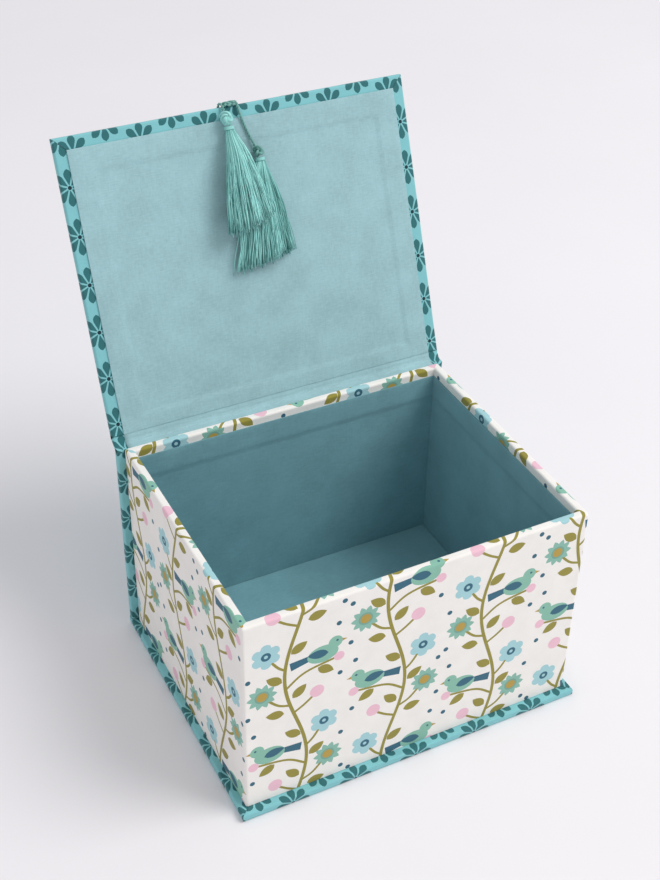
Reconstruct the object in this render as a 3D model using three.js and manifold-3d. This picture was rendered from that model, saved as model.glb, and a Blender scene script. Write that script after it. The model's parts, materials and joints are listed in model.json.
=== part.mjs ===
// A cloth-covered keepsake box made in the bookbinder's way: an open tray of greyboard walls stands
// on a base board, with a spine board behind it and a lid board hinged on the covering cloth.
// Two silk tassels hang from the lid's free edge. Millimetres, +Z up, -Y is the front, and the
// origin is the centre of the base's underside. The lid stands open, leaning back on its cloth.
import * as THREE from 'three';
import { mergeVertices } from 'three/addons/utils/BufferGeometryUtils.js';
import Module from 'manifold-3d';

const wasm = await Module();
wasm.setup();

// ---- Driving dimensions ----
const trayWidth = 160; // X, over the covering cloth
const trayDepth = 127; // Y, over the covering cloth
const trayHeight = 103; // from the top of the base to the rim
const boardThickness = 2.5; // greyboard of every wall, of the floor and of the case
const clothThickness = 0.5; // covering cloth with its paper backing
const paste = 0.15; // film between two layers that are glued together
const sideMargin = 3.2; // the case stands out past the tray's sides
const frontMargin = 3.95; // the case stands out past the tray's front
const turnIn = 16; // how far a covering cloth folds over an edge of the case or the rim
const floorTurnUnder = 12; // how far the tray's cloth folds under it, and the floor's lining under its card
const rimLip = 4; // the tray's cloth left showing inside, above the lining
const floorCard = 1.4; // card under the floor's lining
const liningInset = 5.4; // from the lid's edges to its lining
const openAngle = 111.3; // from closed, where the lining cloth of the joint goes taut
const jointGap = 2; // from the hinge axis to the lid board's covered edge
const lidClearance = 0.3; // between the closed lid's lining and the rim
const hingeClothGap = 1.4; // the outer hinge cloth starts this far below the rim
const hingeClothHeld = 9; // length of the inner hinge cloth that is glued to the lid
const cordDiameter = 1.2; // two-ply silk cord
const cordLift = 0.3; // between a cord and what it lies on
const cordBendRadius = 2.4; // centreline, where a cord turns over the lid's edge
const cordHoleFromEdge = 22; // from the lid's free edge to the hole that the cords come out of
const cordHoleDiameter = 3.6;
const cordHoleX = -2.9;
const anchorDiameter = 7; // the cords' teased-out ends, pasted into a seat in the lid board
const anchorThickness = 1.1;
const anchorSeatDepth = 1.5;
const anchorSeatClearance = 0.5; // round the anchor in its seat
const tasselGap = 0.3; // between a tassel's pieces

// ---- Worked-out sizes ----
const wrap = clothThickness + paste;
const caseThickness = boardThickness + 2 * wrap;
const caseWidth = trayWidth + 2 * sideMargin;
const caseDepth = frontMargin + trayDepth + paste + caseThickness;
const caseFront = -caseDepth / 2;
const caseBack = caseDepth / 2;
const trayFront = caseFront + frontMargin;
const trayBack = trayFront + trayDepth;
const trayBottom = caseThickness + paste;
const rim = trayBottom + trayHeight;
const cordRadius = cordDiameter / 2;
const lean = THREE.MathUtils.degToRad(openAngle - 90); // of the open lid, behind upright

// The hinge axis runs along X in the middle of the cloth at the spine's top.
const hinge = new THREE.Vector3(0, caseBack - clothThickness / 2, rim + lidClearance);
const lidTip = hinge.y - caseFront; // from the axis to the lid's free edge

// Layers of the lid, as distances behind the face of its lining.
const lidTurnInFace = wrap;
const lidBoardFace = lidTurnInFace + wrap;
const lidBoardBack = lidBoardFace + boardThickness;
const lidBack = lidBoardBack + wrap;

// Layers of a tray wall, as distances in from the face of the tray's cloth.
const wallBoardFace = wrap;
const wallBoardInside = wallBoardFace + boardThickness;
const wallTurnInFace = wallBoardInside + wrap;
const wallLiningFace = wallTurnInFace + wrap;

// ---- Materials ----
const finish = (color, roughness) => new THREE.MeshStandardMaterial({ color, roughness, metalness: 0 });
const greyboard = finish(0x9b958a, 0.95);
const caseClothFinish = finish(0x7fc4c9, 0.8);
const trayClothFinish = finish(0xeeeae6, 0.8);
const liningFinish = finish(0x7fa9b1, 0.85);
const silkFinish = finish(0x7fd0c5, 0.45);

// ---- Geometry helpers ----
function toSolid(geometry) {
  geometry.deleteAttribute('normal');
  geometry.deleteAttribute('uv');
  const merged = mergeVertices(geometry, 1e-5);
  return new wasm.Manifold(
    new wasm.Mesh({
      numProp: 3,
      vertProperties: new Float32Array(merged.attributes.position.array),
      triVerts: new Uint32Array(merged.index.array),
    }),
  );
}

function toGeometry(solid) {
  const mesh = solid.getMesh();
  const geometry = new THREE.BufferGeometry();
  geometry.setAttribute('position', new THREE.BufferAttribute(mesh.vertProperties, 3));
  geometry.setIndex(new THREE.BufferAttribute(mesh.triVerts, 1));
  geometry.computeVertexNormals();
  return geometry;
}

// A box from its lowest and highest corners, each [x, y, z].
function block(low, high) {
  const size = high.map((value, axis) => value - low[axis]);
  const middle = high.map((value, axis) => (value + low[axis]) / 2);
  return toSolid(new THREE.BoxGeometry(...size).translate(...middle));
}

// Cloth wrapped round a board: a box of the outer size, hollowed by one thickness of cloth, with
// a window where the cloth's turn-ins stop.
function wrappedCloth(low, high, windowLow, windowHigh) {
  const inner = low.map((value) => value + clothThickness);
  const outer = high.map((value) => value - clothThickness);
  return block(low, high).subtract(block(inner, outer)).subtract(block(windowLow, windowHigh));
}

// The board inside wrapped cloth.
function wrappedBoard(low, high) {
  return block(
    low.map((value) => value + wrap),
    high.map((value) => value - wrap),
  );
}

// A round rod along Y between two places.
function rodAlongY(x, fromY, toY, z, diameter) {
  const rod = new THREE.CylinderGeometry(diameter / 2, diameter / 2, toY - fromY, 24);
  return toSolid(rod.translate(x, (fromY + toY) / 2, z));
}

// A strip of cloth whose middle follows points [y, z], drawn out along X.
function clothStrip(points, width) {
  const line = points.map(([y, z]) => new THREE.Vector2(y, z));
  const side = (sign) =>
    line.map((point, index) => {
      const before = line[Math.max(index - 1, 0)];
      const after = line[Math.min(index + 1, line.length - 1)];
      const along = after.clone().sub(before).normalize();
      const across = new THREE.Vector2(-along.y, along.x).multiplyScalar((sign * clothThickness) / 2);
      return point.clone().add(across);
    });
  const outline = [...side(1), ...side(-1).reverse()];
  const strip = new THREE.ExtrudeGeometry(new THREE.Shape(outline), { depth: width, bevelEnabled: false });
  strip.translate(0, 0, -width / 2);
  // The outline's own x, y and depth become the object's Y, Z and X.
  const turn = new THREE.Matrix4().makeBasis(
    new THREE.Vector3(0, 1, 0),
    new THREE.Vector3(0, 0, 1),
    new THREE.Vector3(1, 0, 0),
  );
  return toSolid(strip.applyMatrix4(turn));
}

// A round cord along points in the lid's frame.
function cordTube(points, steps) {
  const path = new THREE.CatmullRomCurve3(points, false, 'centripetal');
  const section = new THREE.Shape();
  section.absarc(0, 0, cordRadius, 0, 2 * Math.PI);
  return toSolid(new THREE.ExtrudeGeometry(section, { steps, curveSegments: 4, extrudePath: path }));
}

// A closed body through oval rings, from the top one down. Each ring is
// { x, lift, along, halfWidth, halfDepth }: lift is in front of the lid's lining, along is from the axis.
function ovalLoft(rings) {
  const sides = 16;
  const positions = [];
  for (const ring of rings) {
    for (let side = 0; side < sides; side += 1) {
      const angle = (2 * Math.PI * side) / sides;
      positions.push(
        ring.x + ring.halfWidth * Math.cos(angle),
        -(ring.lift + ring.halfDepth * Math.sin(angle)),
        ring.along,
      );
    }
  }
  const first = positions.length / 3;
  const last = first + 1;
  const [start, end] = [rings[0], rings[rings.length - 1]];
  positions.push(start.x, -start.lift, start.along, end.x, -end.lift, end.along);
  const faces = [];
  for (let side = 0; side < sides; side += 1) {
    const next = (side + 1) % sides;
    faces.push(first, next, side);
    for (let level = 0; level + 1 < rings.length; level += 1) {
      const [low, high] = [level * sides, (level + 1) * sides];
      faces.push(low + side, low + next, high + side, low + next, high + next, high + side);
    }
    const top = (rings.length - 1) * sides;
    faces.push(last, top + side, top + next);
  }
  const geometry = new THREE.BufferGeometry();
  geometry.setAttribute('position', new THREE.Float32BufferAttribute(positions, 3));
  geometry.setIndex(faces);
  return toSolid(geometry);
}

function add(parent, name, solid, material) {
  const mesh = new THREE.Mesh(toGeometry(solid), material);
  mesh.name = name;
  parent.add(mesh);
}

const box = new THREE.Group();

// ---- Case: base and spine ----
function buildBase() {
  const low = [-caseWidth / 2, caseFront, 0];
  const high = [caseWidth / 2, caseBack, caseThickness];
  // At the back the cloth runs on to the spine, so it has no turn-in there.
  const cloth = wrappedCloth(
    low,
    high,
    [low[0] + turnIn, low[1] + turnIn, caseThickness - 2 * clothThickness],
    [high[0] - turnIn, high[1] + clothThickness, caseThickness + clothThickness],
  );
  add(box, 'base_cloth', cloth, caseClothFinish);
  add(box, 'base_board', wrappedBoard(low, high), greyboard);
}

function buildSpine() {
  const low = [-caseWidth / 2, caseBack - caseThickness, trayBottom];
  const high = [caseWidth / 2, caseBack, rim - hingeClothGap - paste];
  // The cloth covers the back and the two sides, and turns in on the face glued to the tray.
  const cloth = block(low, high)
    .subtract(
      block(
        [low[0] + clothThickness, low[1] + clothThickness, low[2] - clothThickness],
        [high[0] - clothThickness, high[1] - clothThickness, high[2] + clothThickness],
      ),
    )
    .subtract(
      block(
        [low[0] + turnIn, low[1] - clothThickness, low[2] - clothThickness],
        [high[0] - turnIn, low[1] + 2 * clothThickness, high[2] + clothThickness],
      ),
    );
  add(box, 'spine_cloth', cloth, caseClothFinish);
  const board = block(
    [low[0] + wrap, low[1] + wrap, low[2]],
    [high[0] - wrap, high[1] - wrap, rim - wrap - paste],
  );
  add(box, 'spine_board', board, greyboard);
}

// ---- Tray: a floor and four walls, covered and lined ----
// A box beside one wall: u runs along it, the depths are in from the tray's outer face.
function wallBlock(side, fromU, toU, fromDepth, toDepth, fromZ, toZ) {
  const along = { front: 0, back: 0, left: 1, right: 1 }[side];
  const half = trayWidth / 2;
  const across = {
    front: [trayFront + fromDepth, trayFront + toDepth],
    back: [trayBack - toDepth, trayBack - fromDepth],
    left: [-half + fromDepth, -half + toDepth],
    right: [half - toDepth, half - fromDepth],
  }[side];
  const centre = (trayFront + trayBack) / 2;
  return along === 0
    ? block([fromU, across[0], fromZ], [toU, across[1], toZ])
    : block([across[0], centre + fromU, fromZ], [across[1], centre + toU, toZ]);
}

const longWalls = ['front', 'back'];
const shortWalls = ['left', 'right'];
const floorBoardTop = trayBottom + wrap + boardThickness;

function buildTrayBoards() {
  const [low, high] = [trayBottom + wrap, rim - wrap];
  for (const side of longWalls) {
    const half = trayWidth / 2 - wallBoardFace;
    add(box, `${side}_wall_board`, wallBlock(side, -half, half, wallBoardFace, wallBoardInside, low, high), greyboard);
  }
  for (const side of shortWalls) {
    const half = trayDepth / 2 - wallBoardInside - paste;
    add(box, `${side}_wall_board`, wallBlock(side, -half, half, wallBoardFace, wallBoardInside, low, high), greyboard);
  }
  const inside = wallBoardInside + paste;
  const floor = block(
    [-trayWidth / 2 + inside, trayFront + inside, low],
    [trayWidth / 2 - inside, trayBack - inside, floorBoardTop],
  );
  add(box, 'floor_board', floor, greyboard);
}

// The tray's outer size, drawn in by the same distance on all four sides.
function trayBlock(inset, fromZ, toZ) {
  return block(
    [-trayWidth / 2 + inset, trayFront + inset, fromZ],
    [trayWidth / 2 - inset, trayBack - inset, toZ],
  );
}

function buildTrayCloth() {
  const past = clothThickness; // a cut runs this far past the face it opens
  const outside = trayBlock(0, trayBottom, rim).subtract(trayBlock(clothThickness, trayBottom - past, rim + past));
  const overRim = trayBlock(0, rim - clothThickness, rim).subtract(
    trayBlock(wallTurnInFace, rim - 2 * clothThickness, rim + past),
  );
  const inside = trayBlock(wallTurnInFace - clothThickness, rim - turnIn, rim).subtract(
    trayBlock(wallTurnInFace, rim - turnIn - past, rim + past),
  );
  const under = trayBlock(0, trayBottom, trayBottom + clothThickness).subtract(
    trayBlock(floorTurnUnder, trayBottom - past, trayBottom + 2 * clothThickness),
  );
  add(box, 'tray_cloth', outside.add(overRim).add(inside).add(under), trayClothFinish);
}

// A wall's lining lies on the board, and steps up over the tray cloth's turn-in near the rim.
function buildWallLining(side) {
  const half = (longWalls.includes(side) ? trayWidth : trayDepth) / 2;
  const meetsBoards = longWalls.includes(side);
  const lowerHalf = half - (meetsBoards ? wallBoardInside : wallBoardInside + wrap) - paste;
  const upperHalf = half - (meetsBoards ? wallTurnInFace : wallLiningFace) - paste;
  const stepTop = rim - turnIn - paste;
  const onBoard = wallBoardInside + paste;
  const onTurnIn = wallTurnInFace + paste;
  const lower = wallBlock(side, -lowerHalf, lowerHalf, onBoard, onBoard + clothThickness, floorBoardTop + paste, stepTop);
  const step = wallBlock(side, -upperHalf, upperHalf, onBoard, wallLiningFace, stepTop - clothThickness, stepTop);
  const upper = wallBlock(side, -upperHalf, upperHalf, onTurnIn, wallLiningFace, stepTop - clothThickness, rim - rimLip);
  add(box, `${side}_wall_lining`, lower.add(step).add(upper), liningFinish);
}

function buildFloorLining() {
  const inset = wallBoardInside + wrap + paste;
  const low = [-trayWidth / 2 + inset, trayFront + inset, floorBoardTop + paste];
  const high = [trayWidth / 2 - inset, trayBack - inset, low[2] + floorCard + 2 * wrap];
  const cloth = wrappedCloth(
    low,
    high,
    [low[0] + floorTurnUnder, low[1] + floorTurnUnder, low[2] - clothThickness],
    [high[0] - floorTurnUnder, high[1] - floorTurnUnder, low[2] + 2 * clothThickness],
  );
  add(box, 'floor_lining', cloth, liningFinish);
  add(box, 'floor_card', wrappedBoard(low, high), greyboard);
}

// ---- Lid: its own frame, with Z from the hinge axis to the free edge and -Y in front of the lining ----
const lid = new THREE.Group();
lid.position.copy(hinge);
lid.rotation.x = -lean;
box.add(lid);

const cordHoleAlong = lidTip - cordHoleFromEdge;

function buildLid() {
  const low = [-caseWidth / 2, lidTurnInFace, jointGap];
  const high = [caseWidth / 2, lidBack, lidTip];
  const cordHole = rodAlongY(cordHoleX, lidBoardFace, lidBack + clothThickness, cordHoleAlong, cordHoleDiameter);
  // At the joint the cloth runs on to the spine, so it has no turn-in there.
  const cloth = wrappedCloth(
    low,
    high,
    [low[0] + turnIn, lidTurnInFace - clothThickness, jointGap - clothThickness],
    [high[0] - turnIn, lidTurnInFace + 2 * clothThickness, lidTip - turnIn],
  );
  add(lid, 'lid_cloth', cloth.subtract(cordHole), caseClothFinish);
  const seat = rodAlongY(
    cordHoleX,
    lidTurnInFace,
    lidBoardFace + anchorSeatDepth,
    cordHoleAlong,
    anchorDiameter + 2 * anchorSeatClearance,
  );
  add(lid, 'lid_board', wrappedBoard(low, high).subtract(cordHole).subtract(seat), greyboard);
}

// The lid's lining lies on the board, and steps up over the turn-ins round its edge.
function buildLidLining() {
  const half = caseWidth / 2;
  const [bottom, top] = [jointGap + liningInset / 2, lidTip - liningInset];
  const stepHalf = half - turnIn - paste;
  const [stepBottom, stepTop] = [jointGap + hingeClothHeld + paste, lidTip - turnIn - paste];
  const past = clothThickness;
  const sheet = block([-half + liningInset, 0, bottom], [half - liningInset, clothThickness, top]);
  const plug = block([-stepHalf, 0, stepBottom], [stepHalf, lidBoardFace - paste, stepTop]);
  const recess = block(
    [-stepHalf + clothThickness, -past, stepBottom + clothThickness],
    [stepHalf - clothThickness, lidBoardFace - paste - clothThickness, stepTop - clothThickness],
  );
  add(lid, 'lid_lining', sheet.add(plug).subtract(recess), liningFinish);
}

// ---- Hinge cloths, across the joint ----
// A place in the lid's frame, as [y, z] in the object's.
function fromLid(behind, along) {
  return [
    hinge.y + behind * Math.cos(lean) + along * Math.sin(lean),
    hinge.z - behind * Math.sin(lean) + along * Math.cos(lean),
  ];
}

function buildHingeCloths() {
  const half = clothThickness / 2;
  const onSpine = rim - paste - half;
  const underLining = lidTurnInFace + half;
  const inner = [
    [trayBack + paste, onSpine],
    [hinge.y - clothThickness, onSpine],
    fromLid(underLining, jointGap / 2),
    fromLid(underLining, jointGap + clothThickness),
    fromLid(underLining, jointGap + hingeClothHeld),
  ];
  // The joint is open between the lid's turn-ins only, so the strip is as wide as the space between them.
  add(box, 'inner_hinge_cloth', clothStrip(inner, caseWidth - 2 * (turnIn + paste)), liningFinish);
  const outer = [
    [caseBack - half, rim - hingeClothGap],
    [caseBack - half, rim - hingeClothGap + half],
    [caseBack + half, rim - hingeClothGap + clothThickness],
    fromLid(lidBack - 2 * clothThickness, jointGap - 3 * clothThickness),
    fromLid(lidBack - half, jointGap - clothThickness),
  ];
  add(box, 'outer_hinge_cloth', clothStrip(outer, caseWidth), caseClothFinish);
}

// ---- Tassels ----
const cordFront = cordLift + cordRadius; // a cord's middle, in front of the lining
const cordBehind = lidBack + cordLift + cordRadius; // and behind the lid
const bendCentre = lidTip - cordFront; // the cord's bends over the edge turn about this level
const crest = bendCentre + cordBendRadius;

// Where a cord turns over the lid's edge, part of the way round a quarter turn. Front or behind.
function bendPoint(x, atFront, degrees) {
  const angle = THREE.MathUtils.degToRad(degrees);
  const reach = cordBendRadius * Math.cos(angle);
  const centre = atFront ? -cordFront + cordBendRadius : cordBehind - cordBendRadius;
  return new THREE.Vector3(x, centre + (atFront ? -reach : reach), bendCentre + cordBendRadius * Math.sin(angle));
}

// Each tassel: where its cord leaves the hole and crosses the edge, the way its cord runs on, as
// [x, distance below the lid's free edge], and its shape as oval rings below the head.
const tassels = [
  {
    holeX: cordHoleX - 0.75,
    edgeX: -6.2,
    free: [],
    head: { x: -6.4, lift: 3.3, top: lidTip - 1.5, length: 6.6, halfWidth: 2.8, halfDepth: 2.7 },
    skirt: [
      { x: -5.9, lift: 3.4, drop: 0, halfWidth: 2.2, halfDepth: 2 },
      { x: -5.7, lift: 5.2, drop: 5, halfWidth: 3.6, halfDepth: 2.2 },
      { x: -5.6, lift: 7.6, drop: 11.5, halfWidth: 5.4, halfDepth: 2.4 },
      { x: -5.7, lift: 8.2, drop: 26, halfWidth: 8.4, halfDepth: 2.8 },
      { x: -5.9, lift: 8.3, drop: 43, halfWidth: 11.2, halfDepth: 3 },
    ],
  },
  {
    holeX: cordHoleX + 0.75,
    edgeX: 0.6,
    free: [
      [1.4, 5.45],
      [2.8, 10.65],
      [4.4, 15.45],
      [5.2, 17.45],
    ],
    head: { x: 6.2, lift: 2.6, top: lidTip - 18.2, length: 5.6, halfWidth: 2.6, halfDepth: 2.2 },
    skirt: [
      { x: 6.4, lift: 2.5, drop: 0, halfWidth: 2.1, halfDepth: 1.8 },
      { x: 5.6, lift: 2.5, drop: 7, halfWidth: 5.2, halfDepth: 2.1 },
      { x: 4.2, lift: 2.6, drop: 20, halfWidth: 9.6, halfDepth: 2.2 },
      { x: 1.4, lift: 2.6, drop: 45, halfWidth: 14.4, halfDepth: 2.3 },
    ],
  },
];
const bindingLength = 1.6;

// The cord on the lid: out of its hole, up the outer face and over the edge to the crest.
function buildLidCord(name, tassel) {
  const startY = lidBoardFace + anchorSeatDepth + cordLift;
  const at = (x, y, z) => new THREE.Vector3(x, y, z);
  const part = (share) => THREE.MathUtils.lerp(tassel.holeX, tassel.edgeX, share);
  const along = (share) => THREE.MathUtils.lerp(cordHoleAlong + cordBendRadius, bendCentre, share);
  const points = [
    at(tassel.holeX, startY, cordHoleAlong),
    at(tassel.holeX, lidBoardBack, cordHoleAlong),
    at(part(0.03), cordBehind - 0.35 * cordRadius, cordHoleAlong + 0.6 * cordBendRadius),
    at(part(0.12), cordBehind, along(0.1)),
    ...[0.35, 0.6, 0.85].map((share) => at(part(share), cordBehind, along(share))),
    ...[0, 30, 60, 90].map((degrees) => bendPoint(tassel.edgeX, false, degrees)),
  ];
  add(lid, `${name}_cord_on_lid`, cordTube(points, 22), silkFinish);
}

function buildCordBend(name, tassel) {
  const points = [80, 60, 40, 20, 5].map((degrees) => bendPoint(tassel.edgeX, true, degrees));
  add(lid, `${name}_cord_bend`, cordTube(points, 6), silkFinish);
}

function buildFreeCord(name, tassel) {
  const points = [
    new THREE.Vector3(tassel.edgeX, -cordFront, bendCentre - tasselGap),
    ...tassel.free.map(([x, below]) => new THREE.Vector3(x, -cordFront, lidTip - below)),
  ];
  add(lid, `${name}_free_cord`, cordTube(points, 8), silkFinish);
}

// The rounded head, the binding round its neck, and the skirt of threads.
function buildTassel(name, tassel) {
  const { head } = tassel;
  const headRings = [4, 25, 50, 75, 100, 125, 150].map((degrees) => {
    const angle = THREE.MathUtils.degToRad(degrees);
    return {
      x: head.x,
      lift: head.lift,
      along: head.top - (head.length / 2) * (1 - Math.cos(angle)),
      halfWidth: head.halfWidth * Math.sin(angle),
      halfDepth: head.halfDepth * Math.sin(angle),
    };
  });
  add(lid, `${name}_head`, ovalLoft(headRings), silkFinish);
  const neck = tassel.skirt[0];
  const bindingTop = headRings[headRings.length - 1].along - tasselGap;
  const binding = [0, bindingLength].map((drop) => ({
    ...neck,
    along: bindingTop - drop,
    halfWidth: neck.halfWidth + tasselGap,
    halfDepth: neck.halfDepth + tasselGap,
  }));
  add(lid, `${name}_binding`, ovalLoft(binding), silkFinish);
  const skirtTop = bindingTop - bindingLength - tasselGap;
  const skirt = tassel.skirt.map((ring) => ({ ...ring, along: skirtTop - ring.drop }));
  add(lid, `${name}_skirt`, ovalLoft(skirt), silkFinish);
}

function buildCordAnchor() {
  const front = lidBoardFace + (anchorSeatDepth - anchorThickness) / 2;
  const anchor = rodAlongY(cordHoleX, front, front + anchorThickness, cordHoleAlong, anchorDiameter);
  add(lid, 'cord_anchor', anchor, silkFinish);
}

buildBase();
buildSpine();
buildTrayBoards();
buildTrayCloth();
[...longWalls, ...shortWalls].forEach(buildWallLining);
buildFloorLining();
buildHingeCloths();
buildLid();
buildLidLining();
buildCordAnchor();
tassels.forEach((tassel, index) => {
  const name = `tassel_${index + 1}`;
  buildLidCord(name, tassel);
  buildCordBend(name, tassel);
  if (tassel.free.length > 0) {
    buildFreeCord(name, tassel);
  }
  buildTassel(name, tassel);
});

export default box;
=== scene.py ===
"""Looks for a cloth-covered keepsake box: printed covering cloths, plain linings and silk tassels.

Lengths are in millimetres until a mesh is made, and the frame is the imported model's own.
"""

import json
import math
import random

import bpy
import numpy as np
from bpy.props import FloatProperty, FloatVectorProperty, IntProperty, PointerProperty
from mathutils import Matrix, Vector
from mathutils.geometry import delaunay_2d_cdt


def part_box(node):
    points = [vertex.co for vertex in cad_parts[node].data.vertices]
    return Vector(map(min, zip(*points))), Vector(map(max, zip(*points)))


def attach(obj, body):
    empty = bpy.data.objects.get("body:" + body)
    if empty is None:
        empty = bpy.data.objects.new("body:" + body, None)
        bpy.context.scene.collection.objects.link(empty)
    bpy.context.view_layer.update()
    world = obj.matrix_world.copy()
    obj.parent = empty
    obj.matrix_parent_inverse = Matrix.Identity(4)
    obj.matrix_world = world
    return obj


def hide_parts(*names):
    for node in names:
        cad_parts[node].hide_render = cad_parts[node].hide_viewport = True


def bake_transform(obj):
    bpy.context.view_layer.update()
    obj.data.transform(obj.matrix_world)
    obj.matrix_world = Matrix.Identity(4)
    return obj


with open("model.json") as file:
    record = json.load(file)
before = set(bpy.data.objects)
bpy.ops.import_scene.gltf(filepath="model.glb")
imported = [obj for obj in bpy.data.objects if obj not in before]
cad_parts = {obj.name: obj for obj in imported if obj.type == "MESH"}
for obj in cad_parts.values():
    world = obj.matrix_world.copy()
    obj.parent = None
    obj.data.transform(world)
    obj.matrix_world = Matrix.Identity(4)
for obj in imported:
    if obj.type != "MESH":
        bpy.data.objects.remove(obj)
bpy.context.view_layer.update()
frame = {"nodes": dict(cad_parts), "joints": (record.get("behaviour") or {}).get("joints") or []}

bl_info = {
    "name": "Keepsake Box Dressing",
    "version": (1, 0, 0),
    "blender": (4, 5, 0),
    "location": "3D View > Sidebar > Keepsake Box",
    "description": "Covers, lines and trims a hinged keepsake box",
    "category": "Add Mesh",
}

METRES = 0.001  # one millimetre


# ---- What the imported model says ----
def box_mm(node):
    """A node's lowest and highest corners, in millimetres."""
    low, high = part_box(node)
    return low / METRES, high / METRES


def joint_named(name):
    return next(joint for joint in frame["joints"] if joint["name"] == name)


LID_JOINT = joint_named("lid_hinge")
HINGE = Vector(LID_JOINT["pos_m"]) / METRES
LEAN = math.radians(LID_JOINT["range_deg"][1] - 90)  # of the open lid, behind upright
ALONG = Vector((0, math.sin(LEAN), math.cos(LEAN)))  # from the hinge to the lid's free edge
BEHIND = Vector((0, math.cos(LEAN), -math.sin(LEAN)))  # from the lining to the lid's outer face


def in_lid(x, behind, along):
    """A place in the lid's own frame, as a point of the object."""
    return HINGE + Vector((x, 0, 0)) + BEHIND * behind + ALONG * along


def lid_span(node, direction):
    """How far a lid node reaches along a direction from the hinge axis: least and most."""
    reaches = [(vertex.co / METRES - HINGE).dot(direction) for vertex in frame["nodes"][node].data.vertices]
    return min(reaches), max(reaches)


LID_START, LID_TIP = lid_span("lid_cloth", ALONG)
LID_FACE, LID_BACK = lid_span("lid_cloth", BEHIND)
BASE_LOW, BASE_HIGH = box_mm("base_cloth")
SPINE_LOW, SPINE_HIGH = box_mm("spine_cloth")
TRAY_LOW, TRAY_HIGH = box_mm("tray_cloth")
FLOOR_LOW, FLOOR_HIGH = box_mm("floor_lining")
BOARD_THICKNESS = BASE_HIGH.z - BASE_LOW.z  # covered


def display(code):
    """A display colour such as 0x7FC4C9 as linear red, green and blue."""
    parts = [(code >> shift & 255) / 255 for shift in (16, 8, 0)]
    return tuple(p / 12.92 if p <= 0.04045 else ((p + 0.055) / 1.055) ** 2.4 for p in parts)


def length_property(name, description, default):
    return FloatProperty(name=name, description=description, default=default, min=0, precision=2)


def angle_property(name, description, degrees):
    return FloatProperty(name=name, description=description, default=math.radians(degrees), subtype="ANGLE")


def colour_property(name, description, code):
    return FloatVectorProperty(
        name=name, description=description, default=display(code), subtype="COLOR", size=3, min=0, max=1
    )


class KeepsakeClothSizes(bpy.types.PropertyGroup):
    cloth: length_property("Cloth", "Thickness of the covering cloth, in mm", 0.42)
    fold_radius: length_property("Board edge radius", "Radius of the cloth round a board's edge, in mm", 0.85)
    rim_radius: length_property("Rim radius", "Radius of the cloth round the tray's rim, in mm", 1.15)
    turn_in: length_property("Turn-in", "How far a cloth folds over a board's far face, in mm", 16)
    rim_turn_in: length_property("Rim turn-in", "How far the tray's cloth is seen to run inside, in mm", 6.5)
    lining: length_property("Lining", "Thickness of the lining cloth, in mm", 0.42)
    lining_step: length_property("Lining step", "How far a lining sinks past the turn-ins below it, in mm", 0.5)
    lining_inset: length_property("Lining inset", "From the lid's edges to its lining, in mm", 5.4)
    rim_lip: length_property("Rim lip", "Tray cloth left showing above the wall linings, in mm", 4)


class KeepsakeColours(bpy.types.PropertyGroup):
    case: colour_property("Case cloth", "Ground of the blossom print", 0x7FC2C7)
    blossom: colour_property("Blossom", "Petals of the blossom print", 0x2B6C70)
    blossom_heart: colour_property("Blossom heart", "Dot in the middle of each blossom", 0x0D3038)
    ground: colour_property("Tray cloth", "Ground of the sprig and bird print", 0xF1EEE9)
    olive: colour_property("Olive", "Stems and leaves", 0x948B38)
    pink: colour_property("Pink", "Buds", 0xECBFCE)
    sage: colour_property("Sage", "Daisies' petals", 0x86B8A8)
    ring: colour_property("Ring", "Inner ring of the daisies", 0x74A493)
    mustard: colour_property("Mustard", "Hearts of the daisies", 0xB59743)
    sky: colour_property("Sky", "Rosettes", 0xA3CFD5)
    petrol: colour_property("Petrol", "Wings, dots and dark hearts", 0x2C6479)
    mint: colour_property("Mint", "Birds", 0x86BBA7)
    lining: colour_property("Lining", "Plain lining cloth in the lid", 0x98BDC2)
    # The tray's lining is the same cloth as the lid's, drawn darker and a little bluer: painted shade inside
    # the tray, with its teal walls' bounce light
    tray_lining: colour_property("Tray lining", "Plain lining cloth in the tray", 0x76A4AD)
    silk: colour_property("Silk", "Tassel threads", 0x82EAE3)
    cord: colour_property("Cord", "Twisted silk cord", 0x55BDB1)
    board: colour_property("Greyboard", "Raw board", 0x9B958A)


class KeepsakeTasselSizes(bpy.types.PropertyGroup):
    threads: IntProperty(name="Threads", description="Threads in each tassel", default=620, min=50)
    thread: length_property("Thread", "Thickness of a thread, in mm", 0.44)
    cord: length_property("Cord", "Diameter of the two-ply cord, in mm", 1.2)
    twist: length_property("Twist", "Length of cord for one turn of its plies, in mm", 3.0)


class KeepsakeStageSettings(bpy.types.PropertyGroup):
    camera_turn: angle_property("Camera turn", "Camera's heading from +Y towards +X", 27.54)
    camera_pitch: angle_property("Camera pitch", "How far the camera looks down", 36.57)
    camera_roll: angle_property("Camera roll", "Turn about the line of sight", 1.14)
    camera_place: FloatVectorProperty(
        name="Camera place",
        description="Where the camera stands, in metres",
        default=(-0.234, -0.4283, 0.4902),
        subtype="TRANSLATION",
    )
    lens: FloatProperty(name="Lens", description="Focal length, in mm", default=58.89, min=10)
    floor: colour_property("Floor", "Plain pale floor", 0xEBE9EC)


# ---- Materials ----
class Wire:
    """A socket of a material's nodes. Arithmetic on it adds Math nodes."""

    def __init__(self, paint, socket):
        self.paint = paint
        self.socket = socket

    def __add__(self, other):
        return self.paint.math("ADD", self, other)

    def __mul__(self, other):
        return self.paint.math("MULTIPLY", self, other)


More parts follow.
